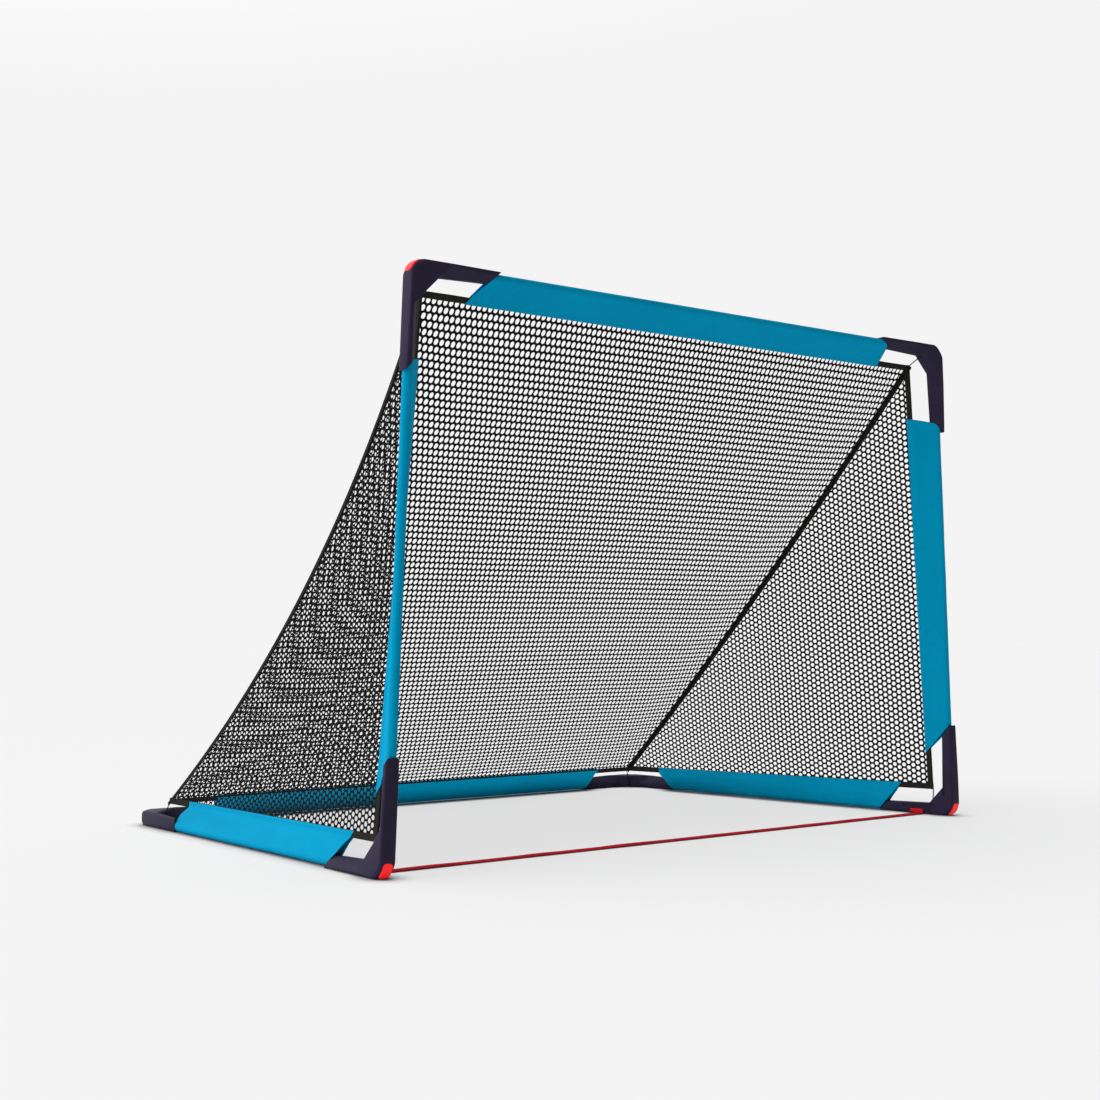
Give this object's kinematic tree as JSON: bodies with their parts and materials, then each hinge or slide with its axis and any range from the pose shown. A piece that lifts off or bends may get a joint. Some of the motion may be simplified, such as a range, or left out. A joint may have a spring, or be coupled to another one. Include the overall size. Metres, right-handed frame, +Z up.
{
  "type": "folding football goal",
  "caption": "Small portable goal: dark corner brackets on round poles, teal fabric sleeves, black mesh net and a red strap across the mouth.",
  "frame": {"origin": "on the ground under the middle of the whole goal", "axes": "+X to the goal's right as seen by a player facing the mouth, +Y from the mouth back to the rear bar, +Z up"},
  "size_m": [1.2042, 0.8286, 0.821],
  "materials": {
    "moulding": "moulded, satin",
    "corner_rubber": "smooth",
    "pole_steel": "painted, satin",
    "ferrule_steel": "drawn tube",
    "sleeve_fabric": "plain weave, sewn",
    "net_mesh": "knitted mesh",
    "edge_tape": "woven tape",
    "strap_webbing": "ribbed webbing",
    "tie_cord": "covered elastic"
  },
  "bodies": {
    "root": {"back_net": "net_mesh", "back_net_base_binding": "edge_tape", "back_net_top_binding": "edge_tape", "crossbar_ferrule": "ferrule_steel", "crossbar_sleeve": "sleeve_fabric", "floor_strap": "strap_webbing", "left_base_pole": "pole_steel", "left_base_sleeve": "sleeve_fabric", "left_crossbar_pole": "pole_steel", "left_front_bracket": "moulding", "left_front_insert": "corner_rubber", "left_front_net_tie": "tie_cord", "left_net": "net_mesh", "left_net_base_binding": "edge_tape", "left_net_front_binding": "edge_tape", "left_post_pole": "pole_steel", "left_post_sleeve": "sleeve_fabric", "left_rear_bracket": "moulding", "left_rear_net_tie": "tie_cord", "left_rear_pole": "pole_steel", "left_seam": "edge_tape", "left_top_bracket": "moulding", "left_top_insert": "corner_rubber", "left_top_net_tie": "tie_cord", "rear_ferrule": "ferrule_steel", "rear_sleeve": "sleeve_fabric", "right_base_pole": "pole_steel", "right_base_sleeve": "sleeve_fabric", "right_crossbar_pole": "pole_steel", "right_front_bracket": "moulding", "right_front_insert": "corner_rubber", "right_front_net_tie": "tie_cord", "right_net": "net_mesh", "right_net_base_binding": "edge_tape", "right_net_front_binding": "edge_tape", "right_post_pole": "pole_steel", "right_post_sleeve": "sleeve_fabric", "right_rear_bracket": "moulding", "right_rear_net_tie": "tie_cord", "right_rear_pole": "pole_steel", "right_seam": "edge_tape", "right_top_bracket": "moulding", "right_top_insert": "corner_rubber", "right_top_net_tie": "tie_cord"}
  },
  "joints": []
}
